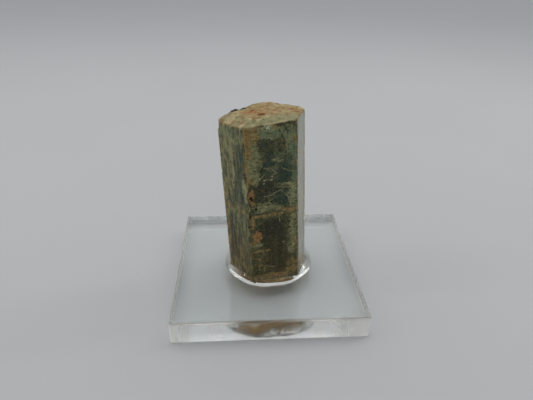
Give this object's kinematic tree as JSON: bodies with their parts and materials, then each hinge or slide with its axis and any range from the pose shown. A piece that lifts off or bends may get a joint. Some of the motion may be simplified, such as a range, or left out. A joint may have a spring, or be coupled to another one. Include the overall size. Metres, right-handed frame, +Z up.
{
  "type": "mounted beryl crystal specimen",
  "caption": "Stained green-grey six-sided beryl prism, slightly leaning, stuck upright with clear adhesive on a square clear acrylic display base.",
  "frame": {"origin": "centre of the acrylic base's underside", "axes": "+Z up along the stand, -Y towards the side of the crystal meant to be seen, +X to its right"},
  "size_m": [0.05, 0.05, 0.0523],
  "materials": {
    "stained_beryl": "glassy to waxy prism faces, olive to blue-green, with tan and rust-brown staining, black pits and a beige etched top",
    "clear_adhesive": "clear set gel with a wet gloss",
    "clear_acrylic": "clear polished sheet with sawn edges"
  },
  "bodies": {
    "root": {"aquamarine_crystal": "stained_beryl", "adhesive_collar": "clear_adhesive", "acrylic_base": "clear_acrylic"}
  },
  "joints": []
}
